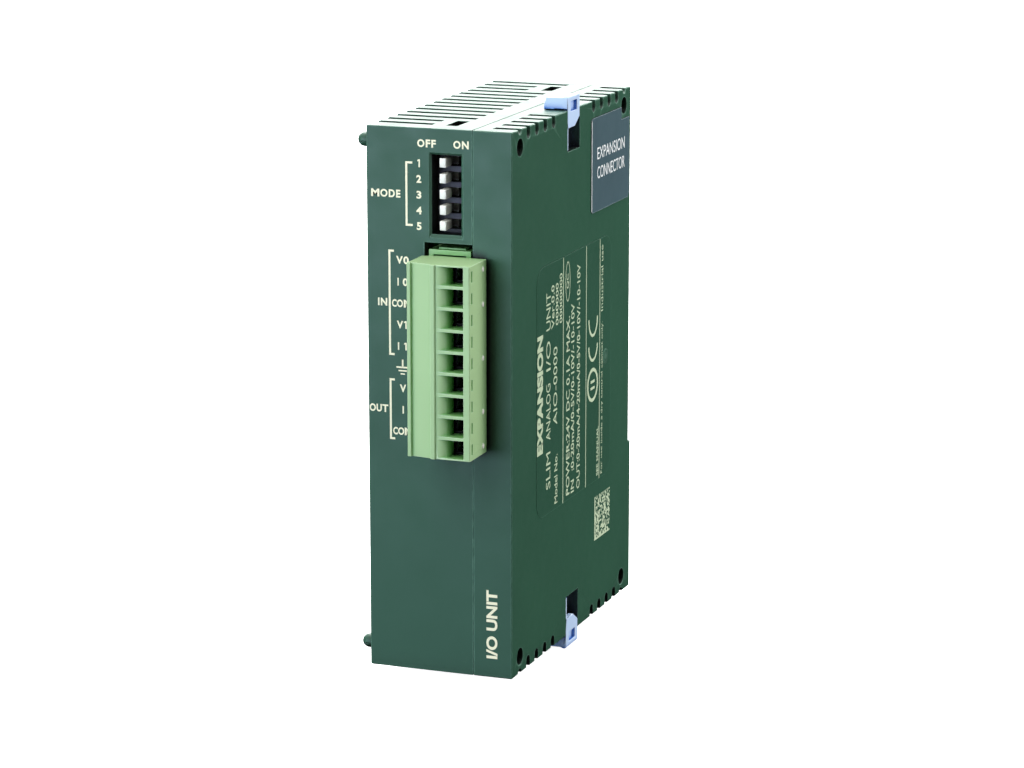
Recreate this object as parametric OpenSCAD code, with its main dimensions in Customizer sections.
// Slim expansion module for a rail-mounted programmable controller: an analog input and
// output unit with a five-way mode switch and a nine-pole pull-off terminal plug.
//
// Every module below is written in case coordinates: x runs from the left face to the right,
// y from the front face to the rear, z from the bottom face up. place() then moves the part
// so that its origin is the middle of the rail seat.

/* [Case] */
// Width of the unit, from the left face to the right face
unit_w = 25; // [25:0.5:27]
// Height of the case, without the joining hooks
unit_h = 90; // [90:0.5:92]
// Depth from the front face to the rear foot
unit_d = 60; // [60:0.5:62]
// Distance from the foot's rear face forward to the rail seat
foot_step = 1.2; // [1:0.1:1.4]
// Width of the left shell, up to the seam
left_w = 18.25; // [18.2:0.05:18.4]
// Wall thickness of the shells
wall = 1.5; // [1.3:0.1:1.6]
// Chamfer on the shells' outer edges
edge = 0.15; // [0.1:0.05:0.5]
// How far the right shell's front stands out from the left shell's
seam_step = 0.08; // [0.05:0.01:0.1]
// Depth of the shadow groove at the seam, on the top and bottom faces
seam_groove = 0.35; // [0.2:0.05:0.5]

/* [Rail mount] */
// Height of the mounting rail
rail_h = 35; // [34.8:0.1:35.2]
// Space between the seat and a rail lip
rail_gap = 1.2; // [1.1:0.1:1.4]
// Thickness of the rail lips
lip_t = 1.4; // [1.2:0.1:1.6]
// How far a lip reaches over the rail
lip_reach = 1.5; // [1.2:0.1:1.6]

/* [Vents] */
// Distance between two vent slots
vent_pitch = 3.975; // [3.9:0.025:4]
// Width of a vent slot
vent_w = 1.7; // [1.4:0.1:1.9]
// How far a vent slot runs down the side of the case
vent_drop = 2; // [1.6:0.1:2.2]

/* [Joining parts] */
// Radius of the locating pegs on the left face
peg_r = 1.18; // [1.1:0.02:1.2]
// Length of the locating pegs
peg_len = 2.8; // [2.4:0.1:2.9]
// Radius of the peg holes in the right face
peg_hole_r = 1.45; // [1.35:0.05:1.5]
// Distance from the case's corner edges to a peg, front and rear
peg_y = 3.7; // [3.6:0.1:3.8]
// Distance from the top or bottom face to a peg
peg_z = 2.9; // [2.8:0.1:3]
// Width of the joining hooks, along the depth of the case
hook_w = 5.85; // [5.6:0.05:5.9]
// Height of a hook's cap over the case
hook_cap = 2.2; // [2:0.1:2.4]

/* [Mode switch] */
// Distance between two levers
lever_pitch = 2.54; // [2.5:0.01:2.54]
// Width of a lever, along its travel
lever_w = 1.15; // [1:0.05:1.3]
// Height of a lever
lever_h = 1.5; // [1.3:0.05:1.55]
// Travel from OFF to ON
lever_travel = 2; // [1.8:0.1:2]

/* [Terminal plug] */
// Distance between two poles
pole_pitch = 3.5; // [3.5:0.01:3.5]
// Radius of a clamp screw's head
screw_head_r = 1.35; // [1.2:0.05:1.4]
// Radius of a clamp screw's thread
screw_r = 0.95; // [0.9:0.05:1]
// Thickness of the wall between two poles
divider_t = 0.5; // [0.45:0.05:0.6]

/* [Hidden] */

$fn = 32;
eps = 0.01;

// Colours
case_green = [0.20, 0.36, 0.29];
plug_green = [0.60, 0.80, 0.56];
hook_blue = [0.66, 0.80, 0.95];
board_green = [0.10, 0.35, 0.20];
tin = [0.75, 0.75, 0.74];
black_plastic = [0.09, 0.09, 0.10];

// Case
corner = [edge, edge];
seat_y = unit_d - foot_step;
inside_z = [wall, unit_h - wall];
mid_z = unit_h / 2;
foot_h = mid_z - rail_h / 2 - 0.7;
peg_rows = [peg_y, seat_y + 0.2 - peg_y];
peg_heights = [peg_z, unit_h - peg_z];

// Vents
vent_first = 3.66;
vent_count = 14;
left_vent_end = 14.4;
short_vent_end = 10;
left_vent_shift = 0.75;
right_vent_start = 20.6;
snap_vents = [0, 1, 11, 12];
hook_vents = [5, 6, 7, 8];
snap_x = [12.3, 14.3];
snap_ys = [[3.6, 9.2], [48, 53.5]];

// Joining hooks
hook_y = 29.28;
hook_x = unit_w - 4.4;
hook_pocket_y = [27.8, 30.95];
hook_leg_t = 0.9;
hook_window_drop = 6.9;
hook_leg_end = 3;
tongue_x = [hook_x + 0.25, hook_x + 1.35];
tongue_w = 3;

// Boards
board_t = 1.6;
board_x = 17.75;
analog_x = 4.6;
board_y = [2.6, 55.2];
board_z = [3.1, unit_h - 3.1];

// Mode switch
dip_x = [10.7, 17.3];
dip_top = unit_h - 5.55;
dip_y = 3;
dip_z = [dip_top - 4 * lever_pitch - 1.85, dip_top + 1.85];
window_x = [11.2, 16.25];
window_z = [dip_z[0] + 0.45, dip_z[1] - 0.55];
lever_x = 13.07;

// Terminal header and plug
poles = 9;
plug_z = 53.85;
header_x = [10.5, board_x];
header_y = [0.7, 9.9];
header_z = plug_z + 0.1 - 16.5;
header_h = 32.9;
header_wall = 0.8;
pin_x = 14.1;
opening_x = 10;
opening_z = [plug_z - 17.7, plug_z + 17.7];
plug_y = -8.15;
plug_back = -0.7;
plug_w = poles * pole_pitch;
wire_x = [15.2, 19.8];
guide_r = 1.85;
screw_y = -3.9;
screw_x = [10.6, 16.95];
screw_head_len = 1.2;
cage_x = [15.6, 20.3];
cage_y = [-5.1, -2.7];
cage_wall = 0.35;
cage_half = pole_pitch / 2 - divider_t / 2 - 0.1;
cage_travel = 1.6;

// Bus connectors and power inlet
bus_y = [40.6, 54.4];
bus_z = [76, 82.6];
bus_pins = 9;
bus_pitch = 1.27;
inlet_x = [10.4, 17.6];
inlet_y = [14, 28];
inlet_top = 10.5;
inlet_pins = 3;
inlet_pitch = 3.96;

// Rail lever
lever_plate_x = [4.8, 14.2];
lever_web_x = [5.8, 13.2];
lever_play = 0.2;

function pole_z(i) = plug_z + (i - (poles + 1) / 2) * pole_pitch;
function vent_at(i) = vent_first + i * vent_pitch;

// Case coordinates to the part's own frame
module place() {
    translate([-unit_w / 2, -seat_y, -unit_h / 2]) children();
}

// A box between two corners, given as one range along each axis
module block(x, y, z) {
    translate([x[0], y[0], z[0]]) cube([x[1] - x[0], y[1] - y[0], z[1] - z[0]]);
}

// A round bar along x
module rod_x(x, y, z, r) {
    translate([x[0], y, z]) rotate([0, 90, 0]) cylinder(h = x[1] - x[0], r = r);
}

// The same shape at the bottom as at the top of the case
module top_and_bottom() {
    children();
    translate([0, 0, unit_h]) mirror([0, 0, 1]) children();
}

// A rectangle between two ranges. The corners at each end of the first range have their own
// cut, given as its size along the first range and along the second.
module bevelled_rect(a, b, low, high) {
    polygon([
        [a[0], b[0] + low[1]], [a[0] + low[0], b[0]],
        [a[1] - high[0], b[0]], [a[1], b[0] + high[1]],
        [a[1], b[1] - high[1]], [a[1] - high[0], b[1]],
        [a[0] + low[0], b[1]], [a[0], b[1] - low[1]]
    ]);
}

// Side outline of the case, with the foot below the rail
module case_outline() {
    polygon([
        [edge, 0], [unit_d - edge, 0], [unit_d, edge], [unit_d, foot_h - edge],
        [unit_d - edge, foot_h], [seat_y, foot_h], [seat_y, unit_h - edge],
        [seat_y - edge, unit_h], [edge, unit_h], [0, unit_h - edge], [0, edge]
    ]);
}

// Solid outer form of a shell from its front face back. In plan its corners are cut by
// low and high; on the top and bottom faces the groove runs along the seam side.
module shell_form(x, front, low, high, groove_low, groove_high) {
    intersection() {
        translate([x[0], 0, 0]) rotate([90, 0, 90]) linear_extrude(x[1] - x[0]) case_outline();
        linear_extrude(unit_h) bevelled_rect(x, [front, unit_d], low, high);
        translate([0, unit_d, 0]) rotate([90, 0, 0]) linear_extrude(unit_d)
            bevelled_rect(x, [0, unit_h], groove_low, groove_high);
    }
}

// One vent slot through the top wall, which wraps over the side at side_x
module vent(x, y, side_x, drop) {
    half = vent_w / 2;
    block(x, [y - half, y + half], [unit_h - wall - eps, unit_h + 1]);
    block(side_x, [y - half, y + half], [unit_h - drop + half, unit_h + 1]);
    rod_x(side_x, y, unit_h - drop + half, half);
}

function vent_depth(i) = (i == 0 || i == vent_count - 1) ? 0.85 : vent_drop;

module left_vents() {
    for (i = [0 : vent_count - 1]) {
        end_x = len(search(i, snap_vents)) > 0 ? short_vent_end : left_vent_end;
        vent([wall, end_x], vent_at(i) + left_vent_shift, [-1, wall + eps], vent_depth(i));
    }
}

module right_vents() {
    for (i = [0 : vent_count - 1]) {
        if (len(search(i, hook_vents)) == 0)
            vent([right_vent_start, unit_w - wall], vent_at(i),
                 [unit_w - wall - eps, unit_w + 1], vent_depth(i));
    }
}

// Fixed upper hook that reaches down behind the rail
module rail_hook() {
    top = mid_z + rail_h / 2 + 0.4;
    lip_y = seat_y + rail_gap;
    translate([3, 0, 0]) rotate([90, 0, 90]) linear_extrude(12) polygon([
        [seat_y - eps, top], [lip_y, top], [lip_y + 0.15, top - lip_reach],
        [lip_y + lip_t - 0.4, top - lip_reach], [lip_y + lip_t, top - lip_reach + 0.5],
        [lip_y + lip_t, top + 1.2], [seat_y - eps, top + 4]
    ]);
}

// Pocket in the seat under a lip, so that the seat itself stays clear
module lip_pockets() {
    top = mid_z + rail_h / 2 + 0.4;
    block([2.8, 15.2], [seat_y - 0.4, seat_y + 1], [top - lip_reach - 0.3, top]);
    block([lever_web_x[0] - 0.4, lever_web_x[1] + 0.4], [seat_y - 0.4, seat_y + 1],
          [foot_h - 1, foot_h + lip_reach + 1.2]);
}

// The channel that holds the rail lever
module lever_channel() {
    block([lever_plate_x[0] - lever_play, lever_plate_x[1] + lever_play],
          [unit_d - 3.1, unit_d - 1.6], [-1, foot_h - 0.7]);
    block([lever_web_x[0] - lever_play, lever_web_x[1] + lever_play],
          [unit_d - 1.9, unit_d + 1], [-1, foot_h + 1]);
}

// Locating peg with a round nose
module peg(y, z) {
    rod_x([peg_r - peg_len, eps], y, z, peg_r);
    translate([peg_r - peg_len, y, z]) sphere(r = peg_r, $fn = 48);
}

// Catch on the left face that a neighbour's hook closes over
module catch() {
    difference() {
        block([-2.4, eps], [hook_y - 2.2, hook_y + 2.2], [unit_h - 6.6, unit_h - 3.4]);
        block([-1.7, -0.5], [hook_y - 3, hook_y + 3], [unit_h - 4.4, unit_h]);
    }
}

// Opening for the mode switch, with a chamfered rim
module switch_window() {
    rim = 0.45;
    block(window_x, [-1, dip_y + eps], window_z);
    hull() {
        block([window_x[0] - rim, window_x[1] + rim], [-eps, 0],
              [window_z[0] - 1.5 * rim, window_z[1] + rim]);
        block(window_x, [rim - eps, rim], window_z);
    }
}

module left_ribs() {
    // Frame behind the switch window
    block([window_x[0] - 0.8, window_x[1] + 0.8], [wall, dip_y - 0.1],
          [window_z[0] - 0.8, window_z[1] + 0.8]);
    // Walls round the rail lever's channel
    block([3.4, 15.6], [unit_d - 4.3, unit_d - 2], [wall - eps, foot_h + 0.8]);
    // Posts under the analog board
    for (y = [8, 50], z = [9, 66])
        rod_x([wall - eps, analog_x], y, z, 2);
}

module case_left() {
    color(case_green) place() {
        difference() {
            union() {
                difference() {
                    shell_form([0, left_w], seam_step, corner, [0.02, 0.02], corner,
                               [0.11, seam_groove]);
                    block([wall, left_w + 1], [wall, seat_y - wall], inside_z);
                }
                left_ribs();
            }
            top_and_bottom() left_vents();
            top_and_bottom() for (y = snap_ys) block(snap_x, y, [unit_h - 2, unit_h + 1]);
            switch_window();
            block([opening_x, left_w + 1], [-1, wall + eps], opening_z);
            block([-1, wall + eps], [bus_y[0] - 0.2, bus_y[1] + 0.2],
                  [bus_z[0] - 0.2, bus_z[1] + 0.2]);
            block([inlet_x[0] - 0.2, inlet_x[1] + 0.2], [inlet_y[0] - 0.2, inlet_y[1] + 0.2],
                  [-1, wall + eps]);
            lever_channel();
            lip_pockets();
        }
        rail_hook();
        for (y = peg_rows, z = peg_heights) peg(y, z);
        top_and_bottom() catch();
    }
}

// Snap tab of the right shell that locks in a window of the left one
module snap_tab(y) {
    z = unit_h - wall;
    block([snap_x[0] - 0.3, left_w + 1], y, [z - 1, z - 0.15]);
    block([left_w, left_w + 1.4], y, [z - 1, z + eps]);
    translate([0, y[1], 0]) rotate([90, 0, 0]) linear_extrude(y[1] - y[0]) polygon([
        [snap_x[0] - 0.1, z - 0.5], [snap_x[1] - 0.2, z - 0.5], [snap_x[1] - 0.2, z + 0.75],
        [snap_x[1] - 0.7, z + 0.75], [snap_x[0] + 0.3, z - 0.1]
    ]);
}

// Window for a hook's leg and the hole for its guide tongue
module hook_slots() {
    half = hook_w / 2 + 0.1;
    block([unit_w - wall - eps, unit_w + 1], [hook_y - half, hook_y + half],
          [unit_h - hook_window_drop, unit_h + 1]);
    block([tongue_x[0] - 0.1, tongue_x[1] + 0.1],
          [hook_y - tongue_w / 2 - 0.1, hook_y + tongue_w / 2 + 0.1],
          [unit_h - wall - 1, unit_h + 1]);
}

module right_ribs() {
    // Guides beside each hook's tongue
    top_and_bottom() for (side = [-1, 1]) {
        y = hook_y + side * (hook_w / 2 + 0.4);
        block([tongue_x[0], unit_w - wall + eps], [y - 0.25, y + 0.25],
              [unit_h - 8, unit_h - wall + eps]);
    }
    // Bosses behind the peg holes
    for (y = peg_rows, z = peg_heights)
        rod_x([unit_w - 4.2, unit_w - wall + eps], y, z, peg_hole_r + 0.9);
    // Posts over the main board
    for (y = [14, 48], z = [13, 64])
        rod_x([board_x + board_t, unit_w - wall + eps], y, z, 1.8);
}

module case_right() {
    color(case_green) place() {
        difference() {
            union() {
                difference() {
                    shell_form([left_w, unit_w], 0, [0.2, 0.1], corner, [0.11, seam_groove],
                               corner);
                    block([left_w - 1, unit_w - wall], [wall, seat_y - wall], inside_z);
                }
                intersection() {
                    right_ribs();
                    block([0, unit_w], [wall / 2, seat_y - wall / 2],
                          [wall / 2, unit_h - wall / 2]);
                }
            }
            top_and_bottom() right_vents();
            top_and_bottom() hook_slots();
            block([unit_w - wall - eps, unit_w + 1], [bus_y[0] - 0.2, bus_y[1] + 0.2],
                  [bus_z[0] - 0.2, bus_z[1] + 0.2]);
            for (y = peg_rows, z = peg_heights)
                rod_x([unit_w - 3.3, unit_w + 1], y, z, peg_hole_r);
        }
        top_and_bottom() for (y = snap_ys) snap_tab([y[0] + 0.3, y[1] - 0.3]);
    }
}

// Positions shared by the boards and the parts that are soldered into them
header_leg_y = [10.4, 11.4];
dip_leg_ys = [5.2, 7.4];
link_y = [47, 52];
link_z = [28, 56];
link_pins = 10;
inlet_leg_z = [8.6, 9.6];

function dip_z_at(i) = dip_top - (i - 1) * lever_pitch;
function link_z_at(i) = link_z[0] + 1.27 + i * 2.54 + 0.2;
function inlet_y_at(i) = (inlet_y[0] + inlet_y[1]) / 2 + (i - 1) * inlet_pitch;
function bus_y_at(i) = (bus_y[0] + bus_y[1]) / 2 + (i - (bus_pins - 1) / 2) * bus_pitch;

module main_board() {
    color(board_green) place() difference() {
        block([board_x, board_x + board_t], board_y, board_z);
        for (i = [1 : poles])
            block([0, unit_w], [header_leg_y[0] - 0.1, header_leg_y[1] + 0.1],
                  [pole_z(i) - 0.6, pole_z(i) + 0.6]);
        for (i = [1 : 5], y = dip_leg_ys)
            rod_x([0, unit_w], y, dip_z_at(i), 0.45);
        for (i = [0 : link_pins - 1])
            rod_x([0, unit_w], (link_y[0] + link_y[1]) / 2, link_z_at(i), 0.5);
        for (i = [0 : inlet_pins - 1])
            block([0, unit_w], [inlet_y_at(i) - 0.6, inlet_y_at(i) + 0.6],
                  [inlet_leg_z[0] - 0.1, inlet_leg_z[1] + 0.1]);
        // Corner cuts that clear the peg-hole bosses
        for (z = board_z, y = board_y)
            rod_x([0, unit_w], y, z, 2.2);
    }
}

module analog_board() {
    color(board_green) place() difference() {
        block([analog_x, analog_x + board_t], board_y, board_z);
        for (z = board_z, y = board_y)
            rod_x([0, unit_w], y, z, 2.2);
    }
}

// Pins of the link between the two boards, in their black strip
module board_link_pins() {
    color(tin) place() {
        block([board_x - 2.5, board_x], [link_y[0] + 1, link_y[1] - 1], link_z);
        for (i = [0 : link_pins - 1])
            rod_x([analog_x + board_t + 1.5, board_x + board_t + 0.9],
                  (link_y[0] + link_y[1]) / 2, link_z_at(i), 0.32);
    }
}

module board_link_socket() {
    color(black_plastic) place() difference() {
        block([analog_x + board_t, board_x - 2.6], link_y, link_z);
        for (i = [0 : link_pins - 1])
            rod_x([analog_x + board_t + 1.2, board_x], (link_y[0] + link_y[1]) / 2,
                  link_z_at(i), 0.45);
    }
}

// Mode switch
module dip_switch_base() {
    color(black_plastic) place() difference() {
        block(dip_x, [dip_y + 1.5, dip_y + 5.6], dip_z);
        for (i = [1 : 5])
            block([lever_x - 1.7, lever_x + lever_travel + 1.35], [dip_y, dip_y + 4.4],
                  [dip_z_at(i) - 0.95, dip_z_at(i) + 0.95]);
    }
}

module dip_switch_cover() {
    gap = 0.15;
    color(black_plastic) place() difference() {
        block(dip_x, [dip_y, dip_y + 1.45], dip_z);
        for (i = [1 : 5])
            block([lever_x - lever_w / 2 - gap, lever_x + lever_travel + lever_w / 2 + gap],
                  [dip_y - 1, dip_y + 2],
                  [dip_z_at(i) - lever_h / 2 - 0.08, dip_z_at(i) + lever_h / 2 + 0.08]);
    }
}

module dip_switch_terminals() {
    color(tin) place() for (i = [1 : 5], y = dip_leg_ys)
        rod_x([dip_x[1], board_x + board_t + 0.8], y, dip_z_at(i), 0.3);
}

// One slider: a foot inside the base and a lever that stands out through the cover
module dip_slider(i) {
    color("white") place() {
        block([lever_x - 1.15, lever_x + 1.15], [dip_y + 1.6, dip_y + 3.8],
              [dip_z_at(i) - 0.85, dip_z_at(i) + 0.85]);
        translate([0, 0, dip_z_at(i) - lever_h / 2]) linear_extrude(lever_h) polygon([
            [lever_x - lever_w / 2, dip_y + 1.7], [lever_x - lever_w / 2, 0.45],
            [lever_x - lever_w / 2 + 0.15, 0.3], [lever_x + lever_w / 2 - 0.15, 0.3],
            [lever_x + lever_w / 2, 0.45], [lever_x + lever_w / 2, dip_y - 0.1],
            [lever_x + 0.1, dip_y - 0.1], [lever_x + 0.1, dip_y + 1.7]
        ]);
    }
}

// Terminal header, open to the front
module terminal_header() {
    color(plug_green) place() difference() {
        union() {
            block(header_x, header_y, [header_z, header_z + header_h]);
            // Shallow end ribs
            for (z = [header_z - 0.25, header_z + header_h])
                block([header_x[0] + 1.4, header_x[1] - 1.2], [1.6, header_y[1]],
                      [z - eps, z + 0.25 + eps]);
        }
        block([header_x[0] + header_wall, header_x[1] - header_wall],
              [header_y[0] - 1, header_y[1] - 1.5],
              [header_z + header_wall, header_z + header_h - header_wall]);
        for (i = [1 : poles])
            block([pin_x - 0.53, pin_x + 0.53], [header_y[0], header_y[1] + 1],
                  [pole_z(i) - 0.53, pole_z(i) + 0.53]);
    }
}

module header_pins() {
    color(tin) place() for (i = [1 : poles]) {
        block([pin_x - 0.5, pin_x + 0.5], [2.6, header_leg_y[1]],
              [pole_z(i) - 0.5, pole_z(i) + 0.5]);
        block([pin_x - 0.5, board_x + board_t + 1], header_leg_y,
              [pole_z(i) - 0.5, pole_z(i) + 0.5]);
    }
}

// Bus connectors: a shrouded plug on the left and a socket on the right
module bus_plug() {
    color(black_plastic) place() difference() {
        union() {
            block([1, analog_x], bus_y, bus_z);
            block([-3.6, 1.1], [bus_y[0] + 0.6, bus_y[1] - 0.6],
                  [bus_z[0] + 0.6, bus_z[1] - 0.6]);
        }
        block([-5, 0.5], [bus_y[0] + 1.3, bus_y[1] - 1.3],
              [bus_z[0] + 1.3, bus_z[1] - 1.3]);
        for (i = [0 : bus_pins - 1], side = [-1, 1])
            block([0, analog_x + 1], [bus_y_at(i) - 0.22, bus_y_at(i) + 0.22],
                  [bus_row(side) - 0.22, bus_row(side) + 0.22]);
    }
}

function bus_row(side) = (bus_z[0] + bus_z[1]) / 2 + side * 0.95;

module bus_plug_contacts() {
    color(tin) place() for (i = [0 : bus_pins - 1], side = [-1, 1])
        block([-2.6, analog_x], [bus_y_at(i) - 0.2, bus_y_at(i) + 0.2],
              [bus_row(side) - 0.2, bus_row(side) + 0.2]);
}

module bus_socket() {
    color(black_plastic) place() difference() {
        union() {
            block([board_x + board_t, unit_w - 3.9], bus_y, bus_z);
            // Tongue that a neighbour's plug closes round
            block([unit_w - 4, unit_w - 0.6], [bus_y[0] + 1.5, bus_y[1] - 1.5],
                  [bus_z[0] + 1.5, bus_z[1] - 1.5]);
        }
        for (i = [0 : bus_pins - 1], side = [-1, 1])
            block([board_x, unit_w], [bus_y_at(i) - 0.35, bus_y_at(i) + 0.35],
                  [bus_row(side) - 0.5, bus_row(side) + 0.5]);
    }
}

module bus_socket_contacts() {
    color(tin) place() for (i = [0 : bus_pins - 1], side = [-1, 1])
        block([board_x + board_t, unit_w - 1.2], [bus_y_at(i) - 0.15, bus_y_at(i) + 0.15],
              [bus_row(side) - 0.45, bus_row(side) - 0.2]);
}

// A thin film on the right face, with round corners
module film(y, z, r, t) {
    translate([unit_w, 0, 0]) rotate([90, 0, 90]) linear_extrude(t) difference() {
        translate([y[0], z[0]]) square([y[1] - y[0], z[1] - z[0]]);
        for (cy = [0, 1], cz = [0, 1]) {
            cx = [y[cy] + (1 - 2 * cy) * r, z[cz] + (1 - 2 * cz) * r];
            difference() {
                translate([y[cy] - cy * r, z[cz] - cz * r]) square(r);
                translate(cx) circle(r = r);
            }
        }
    }
}

// Seal over the bus socket, notched round the upper rear peg hole
module connector_seal() {
    color([0.32, 0.38, 0.41]) place() difference() {
        film([38, 57.7], [unit_h - 19.1, unit_h - 3], 0.8, 0.16);
        block([unit_w - 1, unit_w + 1], [peg_rows[1] - 1.8, unit_d], [unit_h - 5.1, unit_h]);
    }
}

module rating_label() {
    color(case_green * 0.85) place() {
        film([11.5, 48.8], [23.8, 65.9], 3, 0.06);
        // Round gate mark under the film
        translate([unit_w, 45.95, 44.85]) rotate([0, 90, 0]) cylinder(h = 0.14, r1 = 1.35, r2 = 1);
    }
}

// Power inlet in the bottom face
module power_inlet() {
    color([0.90, 0.89, 0.84]) place() difference() {
        block(inlet_x, inlet_y, [0.1, inlet_top]);
        block([inlet_x[0] + 0.8, inlet_x[1] - 0.8], [inlet_y[0] + 0.8, inlet_y[1] - 0.8],
              [-1, inlet_top - 2.2]);
        for (i = [0 : inlet_pins - 1])
            block([inlet_x[0] + 3, inlet_x[1] + 1], [inlet_y_at(i) - 0.52, inlet_y_at(i) + 0.52],
                  [5, inlet_leg_z[1] + 0.02]);
        // Latch slot
        block([inlet_x[0] - 1, inlet_x[0] + 1], [19.4, 22.6], [2.4, 4.4]);
    }
}

module power_inlet_pins() {
    px = (inlet_x[0] + inlet_x[1]) / 2;
    color(tin) place() for (i = [0 : inlet_pins - 1]) {
        block([px - 0.5, px + 0.5], [inlet_y_at(i) - 0.5, inlet_y_at(i) + 0.5],
              [4.6, inlet_leg_z[1]]);
        block([px - 0.5, board_x + board_t + 0.8], [inlet_y_at(i) - 0.5, inlet_y_at(i) + 0.5],
              inlet_leg_z);
    }
}

// Isolating converter for the analog side
module dc_converter() {
    color([0.15, 0.15, 0.16]) place() difference() {
        block([board_x - 9.2, board_x], [31, 45], [7, 24]);
        for (z = [11, 15.5, 20])
            block([board_x - 10, board_x - 8.9], [30, 46], [z - 0.3, z + 0.3]);
    }
}

// Can capacitors on square bases
module electrolytic_capacitors() {
    color([0.72, 0.73, 0.75]) place()
        for (at = [[22, 16, 3.1], [22, 24, 3.1], [29, 31, 2.5], [36, 31, 2.5]]) {
            half = at[2] + 0.15;
            block([board_x - 1.2, board_x], [at[0] - half, at[0] + half],
                  [at[1] - half, at[1] + half]);
            rod_x([board_x - 7.4, board_x - 1.2 + eps], at[0], at[1], at[2]);
        }
}

// Flat chips: [board side, y centre, z centre, width, height, leads a side]
chips = [
    [1, 28, 62, 14, 14, 20], [1, 28, 40, 10, 10, 12], [-1, 30, 72, 10, 10, 12],
    [-1, 32, 54, 7, 9, 8]
];
chip_t = 1.5;

// Face of the board that a chip on this side sits on, and the direction away from it
function chip_face(side) = side > 0 ? analog_x + board_t : board_x;

module ic_packages() {
    color(black_plastic) place() for (c = chips) {
        x = chip_face(c[0]);
        lift = 0.15 * c[0];
        top = x + c[0] * (chip_t + 0.15);
        difference() {
            block([min(x + lift, top), max(x + lift, top)], [c[1] - c[3] / 2, c[1] + c[3] / 2],
                  [c[2] - c[4] / 2, c[2] + c[4] / 2]);
            rod_x([top - 0.15, top + 0.15], c[1] - c[3] / 2 + 1.3, c[2] + c[4] / 2 - 1.3, 0.6);
        }
    }
}

module ic_leads() {
    color(tin) place() for (c = chips, i = [0 : c[5] - 1], side = [-1, 1]) {
        x = chip_face(c[0]);
        foot = [min(x, x + 0.5 * c[0]), max(x, x + 0.5 * c[0])];
        pitch = (c[4] - 1) / c[5];
        z = c[2] + (i - (c[5] - 1) / 2) * pitch;
        y = c[1] + side * (c[3] / 2 + 0.55);
        block(foot, [y - 0.54, y + 0.54], [z - pitch * 0.25, z + pitch * 0.25]);
    }
}

module photocouplers() {
    color([0.93, 0.92, 0.88]) place() for (i = [0 : 5]) {
        z = 34 + i * 5.6;
        block([board_x - 2.2, board_x], [16, 20.4], [z, z + 4.4]);
    }
}

// Drum choke beside the power inlet
module choke() {
    color([0.20, 0.20, 0.22]) place() {
        rod_x([board_x - 1.2, board_x], 8, 16, 3.4);
        rod_x([board_x - 4.6, board_x - 1.2 + eps], 8, 16, 2.2);
        rod_x([board_x - 5.6, board_x - 4.6 + eps], 8, 16, 3.4);
    }
}

// Rows of chip resistors and ceramic capacitors
module chip_components() {
    color([0.55, 0.50, 0.42]) place() {
        for (i = [0 : 7], j = [0 : 1])
            block([board_x + board_t, board_x + board_t + 0.6],
                  [14 + i * 3.2, 15.2 + i * 3.2], [24 + j * 4, 26 + j * 4]);
        for (i = [0 : 5], j = [0 : 2])
            block([analog_x + board_t, analog_x + board_t + 0.7],
                  [12 + i * 3.4, 13.3 + i * 3.4], [18 + j * 4, 20.1 + j * 4]);
    }
}

// Joining hook: a cap over the case, a leg in the right face and a guide tongue inside
module joining_hook() {
    y = [hook_y - hook_w / 2, hook_y + hook_w / 2];
    leg_x = unit_w - hook_leg_t;
    cap_z = unit_h + 0.2;
    top = unit_h + hook_cap;
    difference() {
        union() {
            translate([0, y[1], 0]) rotate([90, 0, 0]) linear_extrude(hook_w) polygon([
                [hook_x + 0.15, unit_h + 0.05], [hook_x + 0.2, top - 1.2],
                [hook_x + 0.6, top - 0.1],
                [unit_w - 1, top - 0.1], [unit_w - 0.7, top + 0.1], [unit_w - 0.25, top + 0.1],
                [unit_w, top - 0.15], [unit_w, unit_h - hook_leg_end],
                [leg_x, unit_h - hook_leg_end], [leg_x, cap_z], [hook_x + 1.95, cap_z],
                [hook_x + 1.95, unit_h + 0.05]
            ]);
            // Arm beside the window
            block([leg_x, unit_w - 0.05], [y[0], y[0] + 0.45],
                  [unit_h - hook_window_drop + 0.2, unit_h - hook_leg_end + eps]);
            // Guide tongue with its stop
            block(tongue_x, [hook_y - tongue_w / 2, hook_y + tongue_w / 2],
                  [unit_h - 6.8, unit_h + 0.3]);
            block(tongue_x, y, [unit_h - 6.8, unit_h - wall - 3.1]);
        }
        // Pry pocket
        block([unit_w - 0.6, unit_w + 1], hook_pocket_y, [unit_h - 0.3, unit_h + 1.35]);
        // Notch that takes the gap under the cap on through the leg's front edge
        block([leg_x - eps, unit_w - 0.15], [y[0] - 1, y[0] + 0.6], [unit_h - 0.2, cap_z]);
        // Slanted end of the leg
        translate([leg_x - 1, y[1], unit_h - hook_leg_end]) rotate([0, 90, 0])
            linear_extrude(hook_leg_t + 2)
            polygon([[0.1, 0.1], [0.1, -2.3], [0, -2.3], [-1.4, 0], [-1.4, 0.1]]);
    }
}

module hook_top() {
    color(hook_blue) place() joining_hook();
}

module hook_bottom() {
    color(hook_blue) place() translate([0, 0, unit_h]) mirror([0, 0, 1]) joining_hook();
}

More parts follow.
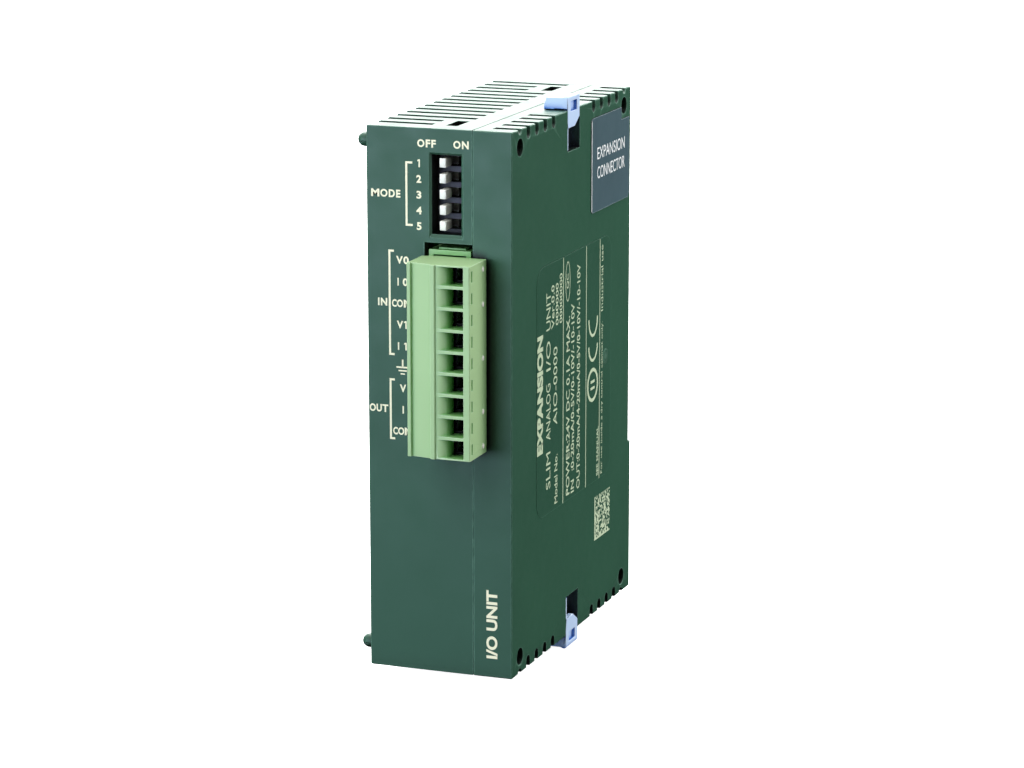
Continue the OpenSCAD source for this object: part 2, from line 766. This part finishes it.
// Lower rail lever, a sliding plate with a lip that reaches up behind the rail
module din_lever() {
    rear = unit_d - 0.4;
    lip_y = seat_y + rail_gap;
    top = mid_z - rail_h / 2 + lip_reach;
    color([0.13, 0.14, 0.15]) place() difference() {
        union() {
            block(lever_plate_x, [unit_d - 3, unit_d - 1.75], [0.4, foot_h - 1]);
            block(lever_web_x, [unit_d - 1.8, rear], [-1.5, foot_h - 0.2]);
            translate([lever_web_x[0], 0, 0]) rotate([90, 0, 90])
                linear_extrude(lever_web_x[1] - lever_web_x[0]) polygon([
                    [rear - eps, foot_h - 5], [lip_y + lip_t, foot_h - 3.4],
                    [lip_y + lip_t, top - 0.9], [lip_y + lip_t - 0.9, top], [lip_y + 0.1, top],
                    [lip_y + 0.1, foot_h - 0.2], [rear - eps, foot_h - 0.2]
                ]);
            // Pull tab under the case
            block([lever_web_x[0] + 1, lever_web_x[1] - 1], [unit_d - 3, rear], [-2.6, -1.4]);
            block([lever_web_x[0] + 1, lever_web_x[1] - 1], [unit_d - 3, unit_d - 1.7],
                  [-1.5, 0.5]);
        }
        // Slot that lets a screwdriver pull the lever down
        block([7.5, 11.5], [unit_d - 4, unit_d + 1], [-1.7, -0.6]);
        // Slits beside the moulded spring tongue
        for (x = [7.2, 11.2])
            block([x, x + 0.6], [unit_d - 4, unit_d + 1], [6, 18]);
        block([7.2, 11.8], [unit_d - 4, unit_d + 1], [5.4, 6.1]);
    }
}

// Terminal plug
module plug_outline() {
    x = [10.1, 20.9];
    polygon([
        [x[0], -1.4], [x[0], plug_y + 0.35], [x[0] + 0.1, plug_y + 0.25],
        [x[0] + 0.55, plug_y + 0.25], [x[0] + 0.64, plug_y + 0.35], [x[0] + 0.7, plug_y + 0.75],
        [14.1, plug_y + 0.15],
        [14.2, plug_y - 0.2], [14.35, plug_y - 0.35], [14.95, plug_y - 0.35],
        [15.1, plug_y - 0.2], [15.15, plug_y], [x[1] - 0.15, plug_y], [x[1], plug_y + 0.15],
        [x[1], plug_back], [11.3, plug_back], [11.1, -1]
    ]);
}

// Hollow of one pole, with its middle at z = 0
module pole_cavity() {
    half = pole_pitch / 2 - divider_t / 2;
    // Wire entry, with a round guide that leads to the clamp
    difference() {
        block(wire_x, [plug_y - 1, cage_y[0]], [-half, half]);
        translate([wire_x[0], plug_y + guide_r, -half - 1])
            cylinder(h = 2 * half + 2, r = guide_r, $fn = 64);
        block([wire_x[0] - 1, wire_x[0] + guide_r], [plug_y + guide_r, cage_y[0] + 1],
              [-half - 1, half + 1]);
    }
    // Space for the clamp cage
    block([cage_x[0] - cage_travel - 0.1, cage_x[1] + 0.1], [cage_y[0] - 0.1, cage_y[1] + 0.1],
          [-half, half]);
    // Screw bore and head bore
    rod_x([9, screw_x[0] + screw_head_len + 0.1], screw_y, 0, screw_head_r + 0.1);
    rod_x([9, cage_x[0]], screw_y, 0, screw_r + 0.1);
    // Space for the spring contact
    block([pin_x - 1.1, 17.8], [cage_y[1], -1.8], [-1, 1]);
    block([pin_x - 1.1, pin_x + 1.1], [-2, 9], [-0.9, 0.9]);
}

module plug_housing() {
    color(plug_green) place() {
        difference() {
            union() {
                translate([0, 0, plug_z - plug_w / 2]) linear_extrude(plug_w) plug_outline();
                block([header_x[0] + header_wall + 0.2, header_x[1] - header_wall - 0.2],
                      [plug_back - eps, 8], [header_z + 1.05, header_z + header_h - 1.05]);
            }
            for (i = [1 : poles]) translate([0, 0, pole_z(i)]) {
                pole_cavity();
                // Thin slit in the right side
                block([20.6, 21], [-7.35, -6.85], [-0.9, 0.9]);
            }
        }
        // Round pips on the right side
        for (k = [-4.12, -2.5, 0, 2.5, 4.12])
            rod_x([20.8, 21], -2.35, plug_z + k * pole_pitch, 0.45);
    }
}

// Current bar, strap and spring tines of each pole
module plug_contacts() {
    color(tin) place() for (i = [1 : poles]) translate([0, 0, pole_z(i)]) {
        block([17.05, 17.6], [cage_y[0] + 0.1, -2.2], [-0.9, 0.9]);
        block([pin_x - 0.8, 17.6], [-2.4, -1.9], [-0.9, 0.9]);
        for (x = [pin_x - 0.8, pin_x + 0.55])
            block([x, x + 0.25], [-2, 6.4], [-0.7, 0.7]);
    }
}

// Slotted clamp screw
module clamp_screw(i) {
    color(tin) place() translate([0, 0, pole_z(i)]) difference() {
        union() {
            rod_x([screw_x[0], screw_x[0] + screw_head_len], screw_y, 0, screw_head_r);
            rod_x([screw_x[0] + screw_head_len - eps, screw_x[1]], screw_y, 0, screw_r);
        }
        block([screw_x[0] - 1, screw_x[0] + 0.6], [screw_y - 0.22, screw_y + 0.22], [-2, 2]);
    }
}

// Clamp cage: a square ring round the current bar, threaded on the screw
module clamp_cage(i) {
    color([0.72, 0.66, 0.45]) place() translate([0, 0, pole_z(i)]) difference() {
        block(cage_x, cage_y, [-cage_half, cage_half]);
        block([cage_x[0] + cage_wall, cage_x[1] - cage_wall], [cage_y[0] - 1, cage_y[1] + 1],
              [cage_wall - cage_half, cage_half - cage_wall]);
        rod_x([cage_x[0] - 1, cage_x[0] + 1], screw_y, 0, screw_r + 0.05);
    }
}

case_left();
case_right();
main_board();
analog_board();
board_link_pins();
board_link_socket();
dip_switch_base();
dip_switch_cover();
dip_switch_terminals();
for (i = [1 : 5]) dip_slider(i);
terminal_header();
header_pins();
bus_plug();
bus_plug_contacts();
bus_socket();
bus_socket_contacts();
connector_seal();
rating_label();
power_inlet();
power_inlet_pins();
dc_converter();
electrolytic_capacitors();
ic_packages();
ic_leads();
photocouplers();
choke();
chip_components();
hook_top();
hook_bottom();
din_lever();
plug_housing();
plug_contacts();
for (i = [1 : poles]) clamp_screw(i);
for (i = [1 : poles]) clamp_cage(i);
